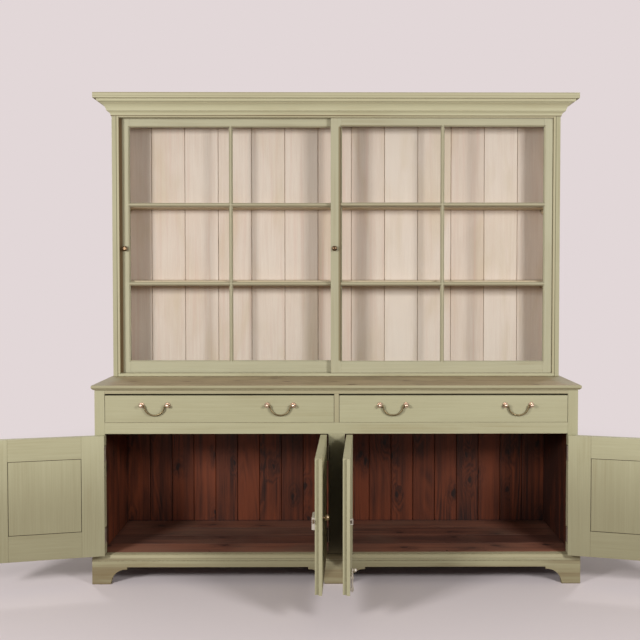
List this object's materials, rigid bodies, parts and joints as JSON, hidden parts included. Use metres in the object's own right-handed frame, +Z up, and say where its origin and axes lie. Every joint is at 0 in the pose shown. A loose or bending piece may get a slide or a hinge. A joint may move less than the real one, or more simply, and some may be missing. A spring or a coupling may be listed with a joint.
{
  "type": "kitchen dresser",
  "caption": "Painted kitchen dresser: glazed rack with sliding sashes over a cupboard base with drawers and panelled doors on a bracket-foot plinth.",
  "frame": {"origin": "on the floor under the middle of the length, at the front plane of the face frame, on the sole of the centre bracket foot", "axes": "-Y is the front, +Y points to the wall behind, +X is the right-hand side seen from the front, +Z is up"},
  "size_m": [2.9827, 1.014, 2.202],
  "materials": {
    "green_paint": "sage-green eggshell paint on pine",
    "side_boards": "pine side boards, painted green outside",
    "cream_paint": "aged cream paint on pine",
    "stained_pine": "dark stained pine",
    "bare_pine": "unfinished pine",
    "worn_counter": "paint worn through to brown",
    "brass": "polished, slightly coppery brass",
    "aged_brass": "darkened brass",
    "steel": "dulled steel",
    "glass": "old window glass"
  },
  "bodies": {
    "carcass": {"base_sides": "side_boards", "base_partition": "stained_pine", "base_back_boards": "stained_pine", "base_floor_boards": "stained_pine", "face_frame_stiles": "green_paint", "face_frame_rails": "green_paint", "counter_top": "worn_counter", "plinth_front": "green_paint", "plinth_returns": "green_paint", "plinth_blocks": "stained_pine", "plinth_moulding": "green_paint", "drawer_runners": "stained_pine", "rack_sides": "side_boards", "rack_sill": "green_paint", "sash_head_board": "green_paint", "rack_top_board": "bare_pine", "head_rail": "green_paint", "sash_stop_beads": "green_paint", "cornice": "green_paint", "rack_back_boards": "cream_paint", "rack_shelves": "cream_paint", "shelf_bearers": "cream_paint", "frame_hinge_leaves": "steel"},
    "front_sash": {"front_sash_frame": "green_paint", "front_sash_panes": "glass", "front_sash_knob": "aged_brass"},
    "rear_sash": {"rear_sash_frame": "green_paint", "rear_sash_panes": "glass", "rear_sash_knob": "aged_brass"},
    "drawer_left": {"drawer_left_front": "green_paint", "drawer_left_box": "bare_pine", "drawer_left_handle_posts": "brass"},
    "drawer_left_bail_1": {"drawer_left_bail_1": "aged_brass"},
    "drawer_left_bail_2": {"drawer_left_bail_2": "aged_brass"},
    "drawer_right": {"drawer_right_front": "green_paint", "drawer_right_box": "bare_pine", "drawer_right_handle_posts": "brass"},
    "drawer_right_bail_1": {"drawer_right_bail_1": "aged_brass"},
    "drawer_right_bail_2": {"drawer_right_bail_2": "aged_brass"},
    "door_outer_left": {"door_outer_left": "green_paint", "door_outer_left_hinge_leaves": "steel", "door_outer_left_fittings": "steel"},
    "door_outer_left_bolt_rod": {"door_outer_left_bolt_rod": "steel"},
    "door_inner_left": {"door_inner_left": "green_paint", "door_inner_left_hinge_leaves": "steel", "door_inner_left_latch_case": "steel"},
    "door_inner_left_latch_knob": {"door_inner_left_latch_knob": "brass"},
    "door_inner_left_latch_tongue": {"door_inner_left_latch_tongue": "brass"},
    "door_inner_right": {"door_inner_right": "green_paint", "door_inner_right_hinge_leaves": "steel", "door_inner_right_fittings": "steel"},
    "door_inner_right_bolt_rod": {"door_inner_right_bolt_rod": "steel"},
    "door_outer_right": {"door_outer_right": "green_paint", "door_outer_right_hinge_leaves": "steel", "door_outer_right_latch_case": "steel"},
    "door_outer_right_latch_knob": {"door_outer_right_latch_knob": "brass"},
    "door_outer_right_latch_tongue": {"door_outer_right_latch_tongue": "brass"}
  },
  "joints": [
    {"name": "front_sash_slide", "type": "slide", "parent": "carcass", "child": "front_sash", "axis": [1, 0, 0], "range_m": [-0.96, 0]},
    {"name": "rear_sash_slide", "type": "slide", "parent": "carcass", "child": "rear_sash", "axis": [1, 0, 0], "range_m": [0, 0.96]},
    {"name": "drawer_left_slide", "type": "slide", "parent": "carcass", "child": "drawer_left", "axis": [0, -1, 0], "range_m": [0, 0.36]},
    {"name": "drawer_left_bail_1_swing", "type": "hinge", "parent": "drawer_left", "child": "drawer_left_bail_1", "pos_m": [-0.797, -0.009, 0.787], "axis": [-1, 0, 0], "range_deg": [0, 95]},
    {"name": "drawer_left_bail_2_swing", "type": "hinge", "parent": "drawer_left", "child": "drawer_left_bail_2", "pos_m": [-0.247, -0.009, 0.787], "axis": [-1, 0, 0], "range_deg": [0, 95]},
    {"name": "drawer_right_slide", "type": "slide", "parent": "carcass", "child": "drawer_right", "axis": [0, -1, 0], "range_m": [0, 0.36]},
    {"name": "drawer_right_bail_1_swing", "type": "hinge", "parent": "drawer_right", "child": "drawer_right_bail_1", "pos_m": [0.247, -0.009, 0.787], "axis": [-1, 0, 0], "range_deg": [0, 95]},
    {"name": "drawer_right_bail_2_swing", "type": "hinge", "parent": "drawer_right", "child": "drawer_right_bail_2", "pos_m": [0.797, -0.009, 0.787], "axis": [-1, 0, 0], "range_deg": [0, 95]},
    {"name": "door_outer_left_hinge", "type": "hinge", "parent": "carcass", "child": "door_outer_left", "pos_m": [-1.0145, -0.0053, 0.4], "axis": [0, 0, -1], "range_deg": [-168, 7]},
    {"name": "door_outer_left_bolt_rod_shoot", "type": "slide", "parent": "door_outer_left", "child": "door_outer_left_bolt_rod", "axis": [0, 0, -1], "range_m": [0, 0.018]},
    {"name": "door_inner_left_hinge", "type": "hinge", "parent": "carcass", "child": "door_inner_left", "pos_m": [-0.0375, -0.0053, 0.4], "axis": [0, 0, 1], "range_deg": [-88.3, 1.7]},
    {"name": "door_inner_left_latch_knob_turn", "type": "hinge", "parent": "door_inner_left", "child": "door_inner_left_latch_knob", "pos_m": [-0.05556, -0.4352, 0.4175], "axis": [0.9996, -0.0297, 0], "range_deg": [0, 60], "stiffness_Nm_per_rad": 0.3, "springref_deg": -17.19},
    {"name": "door_inner_left_latch_tongue_draw", "type": "slide", "parent": "door_inner_left", "child": "door_inner_left_latch_tongue", "axis": [0.0297, 0.9996, 0], "range_m": [0, 0.0081]},
    {"name": "door_inner_right_hinge", "type": "hinge", "parent": "carcass", "child": "door_inner_right", "pos_m": [0.0375, -0.0053, 0.4], "axis": [0, 0, -1], "range_deg": [-92.5, 1]},
    {"name": "door_inner_right_bolt_rod_shoot", "type": "slide", "parent": "door_inner_right", "child": "door_inner_right_bolt_rod", "axis": [0, 0, -1], "range_m": [0, 0.018]},
    {"name": "door_outer_right_hinge", "type": "hinge", "parent": "carcass", "child": "door_outer_right", "pos_m": [1.0145, -0.0053, 0.4], "axis": [0, 0, 1], "range_deg": [-166, 9]},
    {"name": "door_outer_right_latch_knob_turn", "type": "hinge", "parent": "door_outer_right", "child": "door_outer_right_latch_knob", "pos_m": [1.43069, -0.11453, 0.4175], "axis": [0.2419, 0.9703, 0], "range_deg": [0, 60], "stiffness_Nm_per_rad": 0.3, "springref_deg": -17.19},
    {"name": "door_outer_right_latch_tongue_draw", "type": "slide", "parent": "door_outer_right", "child": "door_outer_right_latch_tongue", "axis": [-0.9703, 0.2419, 0], "range_m": [0, 0.0081]}
  ],
  "couplings": [
    {"joint": "door_inner_left_latch_tongue_draw", "follows": "door_inner_left_latch_knob_turn", "m_per_rad": 0.007639},
    {"joint": "door_outer_right_latch_tongue_draw", "follows": "door_outer_right_latch_knob_turn", "m_per_rad": 0.007639}
  ]
}
